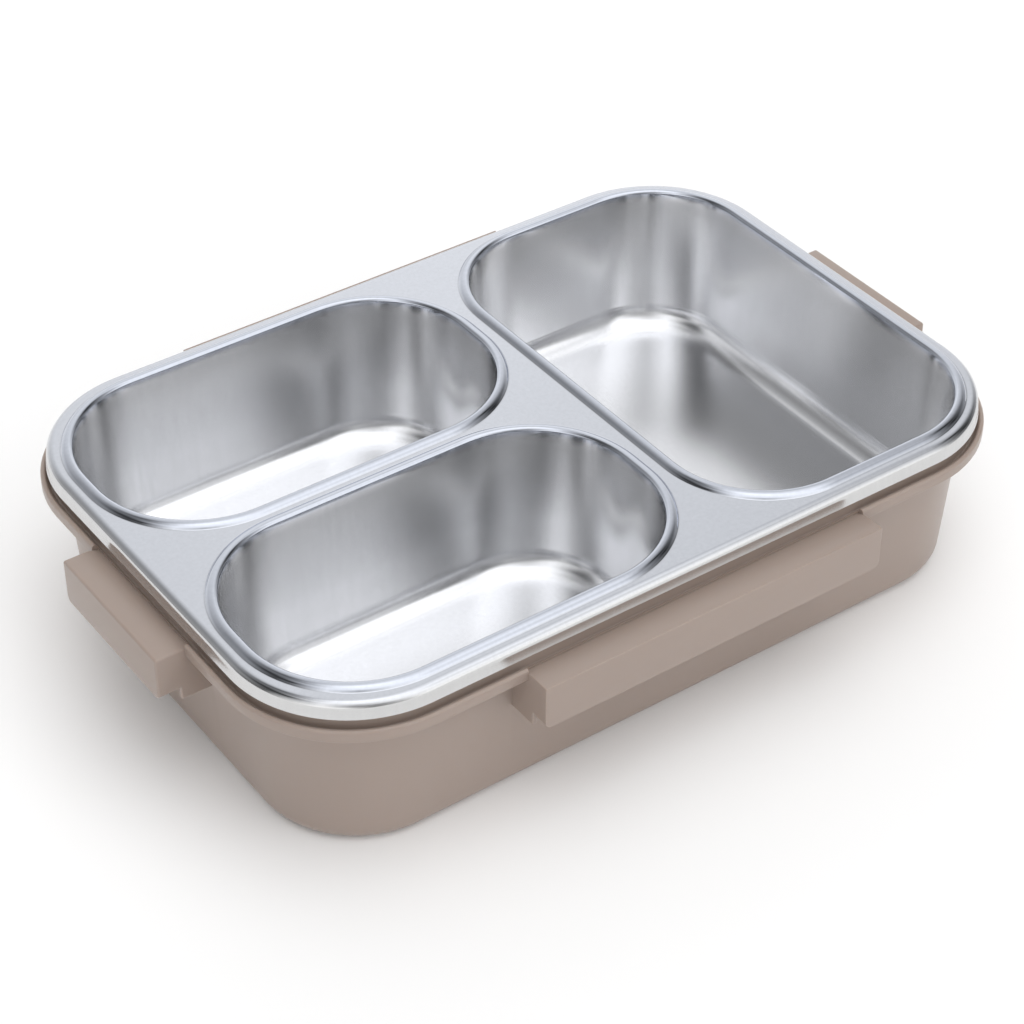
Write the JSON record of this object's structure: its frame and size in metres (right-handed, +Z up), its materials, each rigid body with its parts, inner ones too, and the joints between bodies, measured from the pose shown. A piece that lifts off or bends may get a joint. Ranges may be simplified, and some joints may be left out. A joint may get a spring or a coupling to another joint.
{
  "type": "bento lunch box",
  "caption": "Open rectangular lunch box with rounded corners: a lift-out pressed steel tray with compartments hangs in a tapered plastic outer box with latch ledges.",
  "frame": {"origin": "middle of the flat underside of the outer box, on the surface it stands on", "axes": "+X along the length, towards the large compartment; +Y across the width; +Z up, out of the open compartments"},
  "size_m": [0.285, 0.198, 0.0614],
  "materials": {
    "moulded_plastic": "satin, warm taupe",
    "stainless_steel": "bright land, rim and beads; satin compartment walls"
  },
  "bodies": {
    "outer_box": {"outer_box": "moulded_plastic"},
    "food_tray": {"food_tray": "stainless_steel"}
  },
  "joints": [
    {"name": "tray_lift", "type": "slide", "parent": "outer_box", "child": "food_tray", "axis": [0, 0, 1], "range_m": [0, 0.06]}
  ]
}
